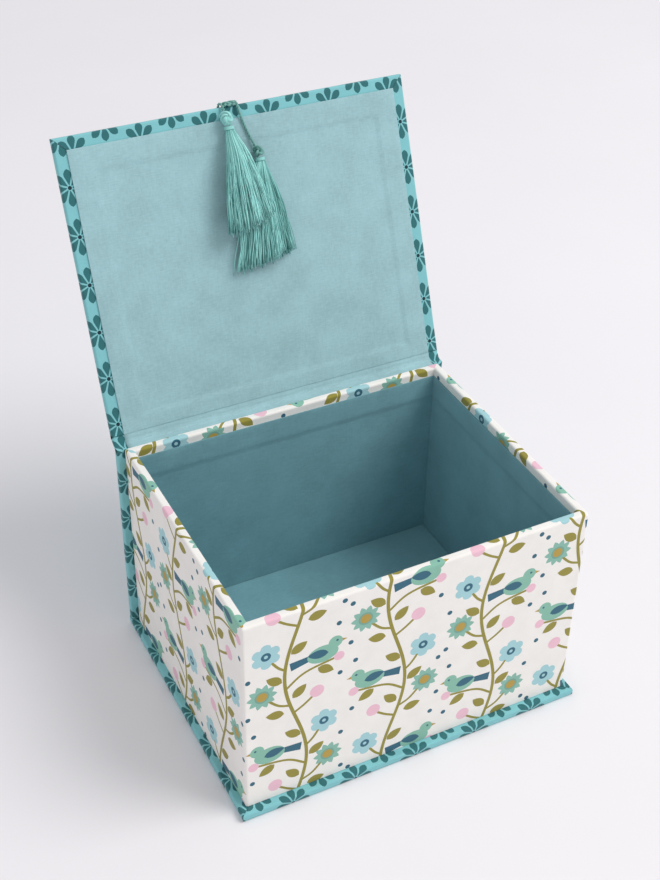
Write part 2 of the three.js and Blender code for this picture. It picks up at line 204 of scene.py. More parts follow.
class Paint:
    """A material being made, with its Principled shader."""

    def __init__(self, name, roughness, **constants):
        self.material = bpy.data.materials.new(name)
        self.material.use_nodes = True
        self.tree = self.material.node_tree
        self.shader = self.tree.nodes["Principled BSDF"]
        self.shader.inputs["Roughness"].default_value = roughness
        for socket, value in constants.items():
            self.shader.inputs[socket.replace("_", " ")].default_value = value

    def node(self, kind, settings=None, sockets=None, output=0):
        """Adds a node, sets it up, feeds its sockets, and returns one of its outputs."""
        made = self.tree.nodes.new(kind)
        for name, value in (settings or {}).items():
            setattr(made, name, value)
        for name, value in (sockets or {}).items():
            if isinstance(value, Wire):
                self.tree.links.new(value.socket, made.inputs[name])
            else:
                made.inputs[name].default_value = value
        return Wire(self, made.outputs[output])

    def math(self, operation, *values):
        return self.node("ShaderNodeMath", {"operation": operation}, dict(enumerate(values)))

    def colours(self, factor, first, second):
        """A mix of two colours."""
        sockets = {0: factor}
        for index, value in ((6, first), (7, second)):
            sockets[index] = value if isinstance(value, Wire) else (*value, 1)
        return self.node("ShaderNodeMix", {"data_type": "RGBA"}, sockets, 2)

    def places(self, tilt=0, scale=(1, 1, 1)):
        """The object's own coordinates, turned back about X by a tilt."""
        at = self.node("ShaderNodeTexCoord", output="Object")
        turned = self.node("ShaderNodeMapping", sockets={"Vector": at, "Rotation": (tilt, 0, 0)})
        return self.node("ShaderNodeVectorMath", {"operation": "MULTIPLY"}, {0: turned, 1: scale})

    def noise(self, places, size, detail=2, roughness=0.5):
        """Noise from 0 to 1, with features of a size in millimetres."""
        sockets = {"Vector": places, "Scale": 1 / (size * METRES), "Detail": detail, "Roughness": roughness}
        return self.node("ShaderNodeTexNoise", sockets=sockets)

    def feed(self, socket, wire):
        self.tree.links.new(wire.socket, self.shader.inputs[socket])

    def bump(self, height, depth, strength=1.0):
        """Raises the surface by a height from 0 to 1, times a depth in millimetres."""
        sockets = {"Height": height, "Distance": depth * METRES, "Strength": strength}
        self.feed("Normal", self.node("ShaderNodeBump", sockets=sockets))


def shaded(colour, share):
    """A colour multiplied, so that it keeps its strength."""
    return tuple(part * share for part in colour)


def lighter(colour, share):
    """A colour mixed with white."""
    return tuple(part + (1 - part) * share for part in colour)


def weave(paint, places, pitch):
    """The height of a plain weave of threads that run along the axes."""
    turns = 2 * math.pi / (pitch * METRES)
    apart = paint.node("ShaderNodeSeparateXYZ", sockets={0: places})
    axes = [Wire(paint, apart.socket.node.outputs[axis]) for axis in "XYZ"]
    ridges = [paint.math("SINE", axis * turns) for axis in axes]
    return (ridges[0] + ridges[1] + ridges[2]) * 0.17 + 0.5


def printed_cotton(name, colour, tilt=0):
    """Matt cotton with its ink, a little uneven where the threads rise."""
    paint = Paint(name, 0.82, Specular_IOR_Level=0.3, Sheen_Weight=0.12, Sheen_Roughness=0.6)
    places = paint.places(tilt)
    threads = weave(paint, places, 0.5)
    patches = paint.noise(places, 9, 3)
    specks = paint.noise(places, 0.5, 2, 0.7)
    shade = patches * 0.45 + specks * 0.4 + threads * 0.15
    paint.feed("Base Color", paint.colours(shade, shaded(colour, 0.84), shaded(colour, 1.12)))
    paint.bump(threads * 0.7 + specks * 0.3, 0.05, 0.5)
    return paint.material


def lining_cloth(name, colour, tilt=0):
    """Plain dyed book cloth on paper: fine mixed fibres, with a few lighter slubs."""
    paint = Paint(name, 0.88, Specular_IOR_Level=0.25, Sheen_Weight=0.15, Sheen_Roughness=0.5)
    places = paint.places(tilt)
    across = paint.noise(paint.places(tilt, (0.16, 1, 1)), 0.55, 3, 0.6)
    upright = paint.noise(paint.places(tilt, (1, 1, 0.2)), 0.6, 3, 0.6)
    clouds = paint.noise(places, 14, 3)
    fibres = across * 0.6 + upright * 0.4
    shade = fibres * 0.62 + clouds * 0.38
    sharper = paint.node(
        "ShaderNodeMapRange",
        sockets={"Value": shade, "From Min": 0.3, "From Max": 0.7, "To Min": 0, "To Max": 1},
    )
    paint.feed("Base Color", paint.colours(sharper, shaded(colour, 0.82), shaded(colour, 1.2)))
    paint.bump(fibres, 0.07, 0.55)
    return paint.material


def silk_thread(name, colour):
    """Glossy filament. Each thread takes a random shade, partly the silk's own varied tone and partly painted
    light: a darkened copy of the silk is painted shade, and a whitened copy is a painted sheen.
    """
    paint = Paint(name, 0.42, Specular_IOR_Level=0.4)
    shade = paint.node("ShaderNodeAttribute", {"attribute_name": "thread_shade"}, output="Fac")
    # From a darkened copy, painted shade, to a whitened copy, painted sheen
    paint.feed("Base Color", paint.colours(shade, shaded(colour, 0.32), lighter(colour, 0.25)))
    fuzz = paint.noise(paint.places(LEAN, (1, 1, 0.2)), 0.25, 2)
    paint.bump(fuzz, 0.03, 0.4)
    return paint.material


def raw_greyboard(name, colour):
    """Pressed grey pulp with pale and dark flecks."""
    paint = Paint(name, 0.95, Specular_IOR_Level=0.2)
    places = paint.places()
    flecks = paint.noise(places, 0.7, 4, 0.7)
    paint.feed("Base Color", paint.colours(flecks, shaded(colour, 0.72), lighter(colour, 0.2)))
    paint.bump(flecks, 0.08, 0.6)
    return paint.material


def painted_floor(name, colour):
    paint = Paint(name, 0.9, Specular_IOR_Level=0.2)
    clouds = paint.noise(paint.places(), 160, 3)
    paint.feed("Base Color", paint.colours(clouds, shaded(colour, 0.97), lighter(colour, 0.1)))
    return paint.material


# ---- Meshes ----
def make_piece(name, points, faces, materials, indices=None, smooth=False):
    """A new object from points in millimetres."""
    mesh = bpy.data.meshes.new(name)
    mesh.from_pydata([tuple(Vector(point) * METRES) for point in points], [], faces)
    for material in materials:
        mesh.materials.append(material)
    if indices is not None:
        mesh.polygons.foreach_set("material_index", indices)
    mesh.polygons.foreach_set("use_smooth", [smooth] * len(mesh.polygons))
    mesh.update()
    piece = bpy.data.objects.new(name, mesh)
    bpy.context.scene.collection.objects.link(piece)
    return piece


def thicken(piece, thickness, weld=0.0):
    """Gives a sheet its thickness, behind the side that its faces show."""
    if weld:
        welding = piece.modifiers.new("weld", "WELD")
        welding.merge_threshold = weld * METRES
    modifier = piece.modifiers.new("thickness", "SOLIDIFY")
    modifier.thickness = thickness * METRES
    modifier.offset = -1
    bpy.context.view_layer.update()
    solid = bpy.data.meshes.new_from_object(piece.evaluated_get(bpy.context.evaluated_depsgraph_get()))
    piece.modifiers.clear()
    piece.data = solid
    return piece


def smooth_line(anchors, steps, closed=False):
    """A Catmull-Rom line through anchor points of any dimension, with so many steps to each gap."""
    points = np.array(anchors, float)
    if closed:
        points = np.vstack([points[-1], points, points[0], points[1]])
    else:
        points = np.vstack([2 * points[0] - points[1], points, 2 * points[-1] - points[-2]])
    line = []
    for a, b, c, d in zip(points, points[1:], points[2:], points[3:]):
        for step in range(steps):
            t = step / steps
            square, cube = 2 * a - 5 * b + 4 * c - d, 3 * b - a - 3 * c + d
            line.append(0.5 * (2 * b + (c - a) * t + square * t**2 + cube * t**3))
    if not closed:
        line.append(points[-2])
    return [tuple(point) for point in line]


def round_board_edge(run, radius, thickness):
    """Where a cloth lies after a run past the start of a board's rounded edge: how far out from
    there, and how deep below the face that it came from."""
    quarter = math.pi * radius / 2
    straight = thickness - 2 * radius
    if run <= quarter:
        angle = run / radius
        return radius * math.sin(angle), radius * (1 - math.cos(angle))
    if run <= quarter + straight:
        return radius, radius + run - quarter
    if run <= 2 * quarter + straight:
        angle = (run - quarter - straight) / radius
        return radius * math.cos(angle), thickness - radius + radius * math.sin(angle)
    return 2 * quarter + straight - run, thickness


def edge_runs(radius, thickness, turn_in, arc_steps=4):
    """The runs at which a cloth over a board's edge is creased in the model."""
    quarter = math.pi * radius / 2
    first = [quarter * step / arc_steps for step in range(arc_steps + 1)]
    second = [run + quarter + thickness - 2 * radius for run in first]
    return first + second + [second[-1] + turn_in]


def signed_area(outline):
    return sum(a[0] * b[1] - b[0] * a[1] for a, b in zip(outline, outline[1:] + outline[:1])) / 2


class FlatCloth:
    """A flat sheet: the outlines that it is cut to, its creases, its holes and its print."""

    def __init__(self):
        self.outlines = []
        self.creases = []
        self.holes = []
        self.marks = []

    def cut(self, outline):
        self.outlines.append(outline)

    def crease(self, line):
        self.creases.append(line)

    def print_mark(self, layer, ink, outline):
        """Higher layers lie over lower ones."""
        self.marks.append((layer, ink, outline))

    def area(self):
        """In square metres."""
        return sum(abs(signed_area(outline)) for outline in self.outlines) * METRES**2

    def is_near(self, outline):
        low, high = np.min(outline, axis=0), np.max(outline, axis=0)
        return any(
            (low < np.max(own, axis=0)).all() and (high > np.min(own, axis=0)).all() for own in self.outlines
        )

    def sew(self, name, fold, materials, thickness, flip=False):
        """Cuts the sheet into triangles by ink, and folds every corner of them into place."""
        marks = sorted((mark for mark in self.marks if self.is_near(mark[2])), key=lambda mark: mark[0])
        shapes = self.outlines + self.holes + [outline for _, _, outline in marks]
        first_hole = len(self.outlines)
        first_mark = first_hole + len(self.holes)
        points, edges, faces = [], [], []
        for shape in shapes:
            ordered = shape if signed_area(shape) > 0 else shape[::-1]
            faces.append(list(range(len(points), len(points) + len(ordered))))
            points.extend(Vector(point) for point in ordered)
        for line in self.creases:
            start = len(points)
            points.extend(Vector(point) for point in line)
            edges.extend((start + step, start + step + 1) for step in range(len(line) - 1))
        flat, _, triangles, _, _, owners = delaunay_2d_cdt(points, edges, faces, 0, 1e-5, True)
        kept, inks = [], []
        for triangle, owner in zip(triangles, owners):
            if not owner or min(owner) >= first_hole:
                continue
            if any(first_hole <= shape < first_mark for shape in owner):
                continue
            top = max(owner)
            kept.append(triangle[::-1] if flip else triangle)
            inks.append(marks[top - first_mark][1] if top >= first_mark else 0)
        used = sorted({corner for triangle in kept for corner in triangle})
        index = {corner: place for place, corner in enumerate(used)}
        solid = [fold(*flat[corner]) for corner in used]
        trimmed = [[index[corner] for corner in triangle] for triangle in kept]
        piece = make_piece(name, solid, trimmed, materials, inks)
        return thicken(piece, thickness, weld=0.01)


class BoardWrap:
    """How a flat cloth folds round the four edges of a board and over its far face.

    low and high are the corners of the covered board in the plane of the near face, and turn_ins
    gives each side's turn-in. A side with none is only rounded."""

    SIDES = {"left": (0, -1), "right": (0, 1), "low": (1, -1), "high": (1, 1)}

    def __init__(self, low, high, thickness, radius, turn_ins):
        self.edges = {
            side: (low, high)[sign > 0][axis] - sign * radius for side, (axis, sign) in self.SIDES.items()
        }
        self.thickness = thickness
        self.radius = radius
        self.turn_ins = turn_ins

    def mitre(self, side, run):
        """Where a neighbouring flap ends towards this side."""
        sign = self.SIDES[side][1]
        out, deep = round_board_edge(run, self.radius, self.thickness)
        if not self.turn_ins[side]:
            out = max(out, 0)
        elif deep == self.thickness:
            out -= 0.14  # the mitred ends of two turn-ins do not quite meet
        return self.edges[side] + sign * out

    def cut(self, cloth):
        """Adds the board's panel and its four flaps to a cloth, with their creases."""
        left, right, low, high = (self.edges[side] for side in ("left", "right", "low", "high"))
        cloth.cut([(left, low), (right, low), (right, high), (left, high)])
        for side, (axis, sign) in self.SIDES.items():
            runs = edge_runs(self.radius, self.thickness, self.turn_ins[side] or 0.3)
            ends = ("low", "high") if axis == 0 else ("left", "right")
            rows = []
            for run in runs:
                place = self.edges[side] + sign * run
                row = [(place, self.mitre(end, run)) for end in ends]
                rows.append(row if axis == 0 else [point[::-1] for point in row])
            cloth.cut([row[0] for row in rows] + [row[1] for row in reversed(rows)])
            for row in rows:
                cloth.crease(row)

    def fold(self, x, y):
        """The place in the board's plane of a point of the flat cloth, and its depth."""
        place = [x, y]
        past = {side: sign * (place[axis] - self.edges[side]) for side, (axis, sign) in self.SIDES.items()}
        side = max(past, key=past.get)
        if past[side] <= 0:
            return x, y, 0
        axis, sign = self.SIDES[side]
        out, depth = round_board_edge(past[side], self.radius, self.thickness)
        place[axis] = self.edges[side] + sign * out
        return *place, depth


def soft_sheet(name, across, up, place, material, thickness, flip=False):
    """A lining: a grid over two lists of distances, put in space by place(u, v)."""
    points = [place(u, v) for v in up for u in across]
    width = len(across)
    faces = []
    for row in range(len(up) - 1):
        for column in range(width - 1):
            a = row * width + column
            face = [a, a + 1, a + width + 1, a + width]
            faces.append(face[::-1] if flip else face)
    return thicken(make_piece(name, points, faces, [material], smooth=True), thickness)


def evenly(start, end, pitch):
    steps = max(1, round(abs(end - start) / pitch))
    return [start + (end - start) * step / steps for step in range(steps + 1)]


def bordered(places, width=0.12):
    """Distances with a narrow strip added along either end."""
    return [places[0], places[0] + width, *places[1:-1], places[-1] - width, places[-1]]


def soft_step(distance, width=0.95):
    """From 0 to 1 across a width on either side of zero."""
    t = min(max(distance / (2 * width) + 0.5, 0), 1)
    return t * t * (3 - 2 * t)


def ripple(u, v, seed=0.0):
    """A cloth's slight unevenness once it is pasted down, from -1 to 1."""
    return (
        math.sin(0.11 * u + 1.3 * seed) * math.sin(0.09 * v + 2.1 * seed)
        + 0.5 * math.sin(0.23 * u - 0.17 * v + seed)
        + 0.3 * math.sin(0.31 * v + 0.4 * u + 3 * seed)
    ) / 1.8


# ---- The blossom print ----
BLOSSOM_ACROSS = 15  # between columns; every other column is dropped by half a row
BLOSSOM_ROW = 21
CASE_INKS = ("case", "blossom", "blossom_heart")


def petal(x, y, angle, length, width):
    """A petal from its foot, at an angle from straight down the cloth."""
    turn = Matrix.Rotation(angle, 2)
    half = [(0.04, 0), (0.27, 0.3), (0.475, 0.585), (0.47, 0.74), (0.315, 0.89), (0, 1)]
    outline = [(width * side, -length * up) for side, up in half]
    outline += [(-px, py) for px, py in outline[-2::-1]]
    return [tuple(Vector((x, y)) + turn @ Vector(place)) for place in outline]


def oval(x, y, half_width, half_height, corners=18):
    angles = [2 * math.pi * corner / corners for corner in range(corners)]
    return [(x + half_width * math.cos(angle), y + half_height * math.sin(angle)) for angle in angles]


def disc(x, y, radius, corners=18):
    return oval(x, y, radius, radius, corners)


def blossom(cloth, x, y):
    """Eight equal petals round a dot."""
    for number in range(8):
        angle = 2 * math.pi * number / 8
        foot = Vector((x, y)) + Matrix.Rotation(angle, 2) @ Vector((0, -1.2))
        cloth.print_mark(1, 1, petal(foot.x, foot.y, angle, 6.8, 3.5))
    cloth.print_mark(2, 2, disc(x, y, 0.9, 12))


def print_blossoms(cloth, low, high, x, y):
    """Fills a cloth with blossoms. One of them stands at x, y."""
    first = math.floor((low[0] - x) / BLOSSOM_ACROSS) - 1
    last = math.ceil((high[0] - x) / BLOSSOM_ACROSS) + 1
    for column in range(first, last + 1):
        drop = BLOSSOM_ROW / 2 * (column % 2)
        bottom = math.floor((low[1] - y - drop) / BLOSSOM_ROW) - 1
        top = math.ceil((high[1] - y - drop) / BLOSSOM_ROW) + 1
        for row in range(bottom, top + 1):
            rise = drop + BLOSSOM_ROW * row
            blossom(cloth, x + BLOSSOM_ACROSS * column, y + rise)


# ---- The sprig and bird print ----
SPRIG_ACROSS = 46  # between sprigs; every other one is raised by half a swing
SWING_HEIGHT = 48  # a sprig swings to one side, and then to the other
SWING_OUT = 5
SPRIG_INKS = ("ground", "olive", "pink", "sage", "ring", "mustard", "sky", "petrol", "mint")
OLIVE, PINK, SAGE, RING, MUSTARD, SKY, PETROL, MINT = range(1, 9)


def brush(points, width, taper=1.0):
    """The outline of a stroke through points, that may taper towards its end."""
    line = np.array(smooth_line(points, 6) if len(points) > 2 else points, float)
    ways = np.gradient(line, axis=0)
    ways /= np.linalg.norm(ways, axis=1)[:, None]
    normals = np.stack([-ways[:, 1], ways[:, 0]], axis=1)
    halves = width / 2 * np.linspace(1, taper, len(line))[:, None]
    left, right = line + normals * halves, line - normals * halves
    return [tuple(point) for point in left] + [tuple(point) for point in right[::-1]]


def leaf(x, y, length, width, angle):
    """A pointed leaf about its middle. The angle is from level."""
    turn = Matrix.Rotation(angle, 2)
    shares = [share / 7 for share in range(8)]
    half = [(length * (s - 0.5), width * 0.5 * math.sin(math.pi * s**0.85) ** 0.8) for s in shares]
    outline = half[:-1] + [(across, -up) for across, up in half[:0:-1]]
    return [tuple(Vector((x, y)) + turn @ Vector(point)) for point in outline]


def scallops(x, y, radius, petals, depth):
    """A round outline with a wavy edge."""
    outline = []
    for corner in range(petals * 5):
        angle = 2 * math.pi * corner / (petals * 5)
        reach = radius * (1 - depth + depth * abs(math.sin(petals * angle / 2)) ** 0.6)
        outline.append((x + reach * math.cos(angle), y + reach * math.sin(angle)))
    return outline


class SprigPrinter:
    """Prints one swing of a winding sprig, out to one side from its foot at x, y."""

    def __init__(self, cloth, x, y, side):
        self.cloth = cloth
        self.x = x
        self.y = y
        self.side = side

    def put(self, layer, ink, outline):
        self.cloth.print_mark(layer, ink, [(self.x + self.side * u, self.y + v) for u, v in outline])

    def daisy(self, u, v):
        """Ten petals in a ring round a yellow heart."""
        for number in range(10):
            angle = 2 * math.pi * number / 10
            self.put(3, SAGE, leaf(u + 4.2 * math.cos(angle), v + 4.2 * math.sin(angle), 5.2, 3.1, angle))
        self.put(4, RING, disc(u, v, 3.3))
        self.put(5, MUSTARD, disc(u, v, 2.4))

    def rosette(self, u, v):
        """One flower of six round petals with a dark heart."""
        self.put(3, SKY, scallops(u, v, 6.6, 6, 0.26))
        self.put(4, PETROL, disc(u, v, 2.2))
        self.put(5, SKY, disc(u, v, 0.9, 10))

    def bird(self, u, v):
        """A plain bird made of an oval, a disc, a leaf and two wedges, looking outwards."""
        self.put(3, MINT, oval(u, v, 7, 4.6, 24))
        self.put(4, MINT, disc(u - 5.6, v + 4.4, 3.2))
        self.put(5, PETROL, leaf(u + 2.2, v + 0.6, 9.5, 4.6, 0.15))
        self.put(2, PETROL, brush([(u + 5.2, v), (u + 14.5, v - 1.4)], 3.0, 1.5))
        self.put(2, MUSTARD, [(u - 8.2, v + 5.4), (u - 11, v + 4.3), (u - 8.2, v + 3.4)])
        self.put(6, PETROL, disc(u - 6.4, v + 5, 0.6, 10))

    def swing(self):
        """The stem's swing with its leaves, flowers, buds and bird."""
        stem = [(SWING_OUT * math.sin(math.pi * share / 8), SWING_HEIGHT * share / 8) for share in range(9)]
        self.put(1, OLIVE, brush(stem, 1.6))
        for branch in (
            [(2.6, 8), (8, 10.5), (14, 17)],
            [(4.8, 29), (8, 32), (12, 38)],
            [(4.6, 18), (-4, 24), (-18, 26.6)],
            [(1, 3), (-4, 6), (-9, 10)],
        ):
            self.put(1, OLIVE, brush(branch, 1.2))
        for u, v, angle in (
            (9.6, 25, 0.6),
            (-1.6, 14.6, 2.4),
            (-1.4, 39, 2.6),
            (9.4, 5.4, 0.2),
            (-13.4, 22, -2.6),
        ):
            self.put(2, OLIVE, leaf(u, v, 8.4, 4.8, angle))
        self.daisy(15, 18.4)
        self.rosette(13, 40)
        self.bird(-12, 31)
        for u, v, radius in ((-9.6, 11, 3.3), (-19.4, 26.8, 2.4)):
            self.put(3, PINK, disc(u, v, radius))
        for u, v in ((21, 29), (-20, 17), (-19, 45), (21.4, 8)):
            self.put(3, PETROL, disc(u, v, 1.2, 12))


# ---- The camera, the floor and the light ----
def camera_matrix(stage):
    turn, pitch, roll = stage.camera_turn, stage.camera_pitch, stage.camera_roll
    forward = Vector((math.sin(turn) * math.cos(pitch), math.cos(turn) * math.cos(pitch), -math.sin(pitch)))
    level = Vector((math.cos(turn), -math.sin(turn), 0))
    up = level.cross(forward)
    right = level * math.cos(roll) + up * math.sin(roll)
    top = up * math.cos(roll) - level * math.sin(roll)
    rows = Matrix((right, top, -forward)).transposed().to_4x4()
    return Matrix.Translation(Vector(stage.camera_place)) @ rows


def soft_light(name, place, target, size, power, colour):
    lamp = bpy.data.lights.new(name, "AREA")
    lamp.shape = "DISK"
    lamp.size = size
    lamp.energy = power
    lamp.color = colour
    light = bpy.data.objects.new(name, lamp)
    bpy.context.scene.collection.objects.link(light)
    light.location = place
    light.rotation_euler = (Vector(target) - Vector(place)).to_track_quat("-Z", "Y").to_euler()


class KEEPSAKE_OT_stage(bpy.types.Operator):
    """Sets the camera, the pale floor and the soft light"""

    bl_idname = "keepsake.stage"
    bl_label = "Stage"

    def execute(self, context):
        stage = context.scene.keepsake_stage
        lens = bpy.data.cameras.new("view")
        lens.lens = stage.lens
        lens.sensor_width = 36
        camera = bpy.data.objects.new("view", lens)
        context.scene.collection.objects.link(camera)
        camera.matrix_world = camera_matrix(stage)
        context.scene.camera = camera

        span = 3000
        drop = 0.15  # the floor lies this far below the base's underside
        corners = [(-span, -span, -drop), (span, -span, -drop), (span, span, -drop), (-span, span, -drop)]
        floor = make_piece("floor", corners, [(0, 1, 2, 3)], [painted_floor("floor paint", stage.floor)])

        world = bpy.data.worlds.new("daylight")
        world.use_nodes = True
        sky = world.node_tree.nodes["Background"]
        sky.inputs["Color"].default_value = (0.97, 0.97, 1.0, 1)
        sky.inputs["Strength"].default_value = 0.7
        context.scene.world = world
        soft_light("window", (1.3, -0.9, 2.1), (0, 0, 0.08), 1.5, 37, (1.0, 0.985, 0.965))
        context.scene.view_settings.view_transform = "Standard"
        return {"FINISHED"}


# ---- Cords and tassels ----
CORD_HOLE = (-2.9, LID_TIP - 22)  # x and along
CORD_LIFT = 0.9  # a cord's middle, in front of the lining or behind the lid
CORD_BEND = 2.4  # radius of its middle, round the lid's edge
BEND_LEVEL = LID_TIP - CORD_LIFT
BEHIND_LEVEL = LID_BACK + CORD_LIFT

# Each tassel: where its cord leaves the hole and crosses the edge, how it runs on as
# (x, below the lid's edge), its head and binding, and the oval rings that its threads follow as
# (x, lift, below the skirt's top, half width, half depth).
TASSELS = (
    {
        "name": "tassel_1",
        "cord": "cord_1",
        "hole_x": -3.65,
        "edge_x": -6.2,
        "free": [],
        "head": {"x": -6.4, "lift": 3.3, "top": 1.5, "length": 6.6, "width": 2.8, "depth": 2.7},
        "skirt": [(-5.9, 3.4, 0, 2.0, 1.8), (-5.7, 5.2, 5, 3.6, 2.0), (-5.4, 7.4, 11.5, 5.6, 2.3),
                  (-4.9, 8.0, 26, 9.2, 2.6), (-4.2, 8.1, 43, 12.4, 2.8)],
        "trim": 0.07,
    },
    {
        "name": "tassel_2",
        "cord": "cord_2",
        "hole_x": -2.15,
        "edge_x": 0.6,
        "free": [(1.4, 5.45), (2.8, 10.65), (4.4, 15.45), (5.2, 17.45), (5.7, 19.2)],
        "head": {"x": 6.2, "lift": 2.6, "top": 18.2, "length": 5.6, "width": 2.6, "depth": 2.2},
        "skirt": [(6.4, 2.5, 0, 1.9, 1.6), (5.6, 2.5, 7, 5.0, 1.9), (4.6, 2.6, 20, 9.6, 2.0),
                  (2.3, 2.6, 45, 15.2, 2.1)],
        "trim": 0.05,
    },
)


def tube(points, radius, sides=8, closed=False):
    """Points and faces of a round tube along a line."""
    line = np.array(points, float)
    count = len(line)
    if closed:
        ways = np.roll(line, -1, axis=0) - np.roll(line, 1, axis=0)
    else:
        ways = np.gradient(line, axis=0)
    ways /= np.linalg.norm(ways, axis=1)[:, None]
    side = np.cross(ways[0], (0.31, 0.87, 0.38))
    rings = []
    for point, way in zip(line, ways):
        side = side - way * side.dot(way)
        side /= np.linalg.norm(side)
        other = np.cross(way, side)
        angles = [2 * math.pi * step / sides for step in range(sides)]
        rings.extend(point + radius * (math.cos(a) * side + math.sin(a) * other) for a in angles)
    faces = []
    for ring in range(count if closed else count - 1):
        here, there = ring * sides, (ring + 1) % count * sides
        for step in range(sides):
            after = (step + 1) % sides
            faces.append((here + step, here + after, there + after, there + step))
    if not closed:
        faces.append(tuple(range(sides))[::-1])
        faces.append(tuple(range((count - 1) * sides, count * sides)))
    return rings, faces


def joined(parts):
    """Several (points, faces) as one."""
    points, faces = [], []
    for part_points, part_faces in parts:
        start = len(points)
        points.extend(part_points)
        faces.extend(tuple(corner + start for corner in face) for face in part_faces)
    return points, faces


def shade_threads(piece, shades):
    """Keeps a shade from 0 to 1 on every point, which the silk reads."""
    attribute = piece.data.attributes.new("thread_shade", "FLOAT", "POINT")
    attribute.data.foreach_set("value", np.asarray(shades, np.float32))


def twisted(line, diameter, twist):
    """A two-ply cord along a line."""
    points = np.array(line, float)
    gaps = np.linalg.norm(np.diff(points, axis=0), axis=1)
    runs = np.concatenate([[0], np.cumsum(gaps)])
    even = np.arange(0, runs[-1], 0.22)
    line = np.stack([np.interp(even, runs, points[:, axis]) for axis in range(3)], axis=1)
    ways = np.gradient(line, axis=0)
    ways /= np.linalg.norm(ways, axis=1)[:, None]
    side = np.cross(ways[0], (0.31, 0.87, 0.38))
    plies = ([], [])
    for run, point, way in zip(even, line, ways):
        side = side - way * side.dot(way)
        side /= np.linalg.norm(side)
        other = np.cross(way, side)
        for ply, half_turn in zip(plies, (0, math.pi)):
            angle = 2 * math.pi * run / twist + half_turn
            ply.append(point + diameter / 4 * (math.cos(angle) * side + math.sin(angle) * other))
    return joined([tube(ply, diameter * 0.27, 7) for ply in plies])


def cord_route(tassel):
    """The middle of a cord: out of its hole, up the lid's outer face, over the edge and down."""
    hole_x, edge_x = tassel["hole_x"], tassel["edge_x"]
    hole_along = CORD_HOLE[1]

    def between(share, start, end):
        return start + (end - start) * share

    def turned(degrees):
        """How far in over the lid's edge, and at what level, on the bend."""
        angle = math.radians(degrees)
        return CORD_BEND * (1 - math.cos(angle)), BEND_LEVEL + CORD_BEND * math.sin(angle)

    route = [(hole_x, 3.1, hole_along), (hole_x, 3.8, hole_along)]
    route.append((between(0.03, hole_x, edge_x), BEHIND_LEVEL - 0.2, hole_along + 1.4))
    for share in (0.12, 0.35, 0.6, 0.85):
        level = between(max(share - 0.02, 0.1), hole_along + CORD_BEND, BEND_LEVEL)
        route.append((between(share, hole_x, edge_x), BEHIND_LEVEL, level))
    for degrees in (0, 30, 60, 90):
        inwards, level = turned(degrees)
        route.append((edge_x, BEHIND_LEVEL - inwards, level))
    for degrees in (80, 60, 40, 20, 0):
        inwards, level = turned(degrees)
        route.append((edge_x, -CORD_LIFT + inwards, level))
    route += [(x, -CORD_LIFT, LID_TIP - below) for x, below in tassel["free"]]
    if not tassel["free"]:
        route.append((edge_x - 0.1, -CORD_LIFT - 0.8, BEND_LEVEL - 1.2))
    return [in_lid(*point) for point in smooth_line(route, 6)]


def build_cord(tassel, sizes, silk):
    route = cord_route(tassel)
    points, faces = twisted(route, sizes.cord, sizes.twist)
    name = tassel["name"]
    cord = make_piece(f"{name}_cord", points, faces, [silk], smooth=True)
    shade_threads(cord, [0.45] * len(points))
    still = in_lid(tassel["edge_x"], BEHIND_LEVEL - 1.2, BEND_LEVEL)
    swinging = in_lid(tassel["edge_x"], -0.4, BEND_LEVEL)
    replaced = [f"{name}_cord_on_lid", f"{name}_cord_bend"]
    if tassel["free"]:
        replaced.append(f"{name}_free_cord")
    tuple(still * METRES)
    tuple(swinging * METRES)
    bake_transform(cord)
    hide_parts(*replaced)
    length = sum((b - a).length for a, b in zip(route, route[1:])) * METRES
    tuple(route[0] * METRES)
    [tuple(point * METRES) for point in route]


def head_profile(head, share):
    """Half-width share and height of a rounded head, from its top to its neck."""
    angle = math.radians(4 + 146 * share)
    return math.sin(angle), LID_TIP - head["top"] - head["length"] / 2 * (1 - math.cos(angle))


def build_wrapped_head(tassel, silk):
    """Threads bent over the cord and drawn together: a smooth bulb with fine grooves."""
    head = tassel["head"]
    rings, sides = 26, 96
    points, shades = [], []
    for ring in range(rings):
        wide, along = head_profile(head, ring / (rings - 1))
        for side in range(sides):
            angle = 2 * math.pi * side / sides
            groove = 0.5 + 0.5 * math.cos(24 * angle + 1.4 * ring / rings + 0.8 * math.sin(3 * angle))
            reach = wide * (0.82 + 0.05 * groove)
            x = head["x"] + head["width"] * reach * math.cos(angle)
            lift = head["lift"] + head["depth"] * reach * math.sin(angle)
            points.append(in_lid(x, -lift, along))
            # Painted shade in the grooves and painted highlight on the ridges between them
            shades.append(0.42 + 0.4 * groove)
    faces = []
    for ring in range(rings - 1):
        for side in range(sides):
            a, b = ring * sides + side, ring * sides + (side + 1) % sides
            faces.append((a, b, b + sides, a + sides))
    faces.append(tuple(range(sides))[::-1])
    faces.append(tuple(range((rings - 1) * sides, rings * sides)))
    middle = (head["x"], -head["lift"], LID_TIP - head["top"] - head["length"] * 0.42)
    reach = (head["width"] - 0.35, head["depth"] - 0.35, head["length"] / 2 - 0.7)
    wraps = [tube(knot_line(middle, [share * half for half in reach], turns, 160), 0.5, 7, True)
             for share, turns in ((1, (2, 3)), (0.92, (3, 4)))]
    bulb = len(points)
    points, faces = joined([(points, faces), *wraps])
    shades += [0.55 + 0.3 * math.sin(index * 0.9) ** 2 for index in range(len(points) - bulb)]
    piece = make_piece(f"{tassel['name']}_wrapped_head", points, faces, [silk], smooth=True)
    shade_threads(piece, shades)
    return piece


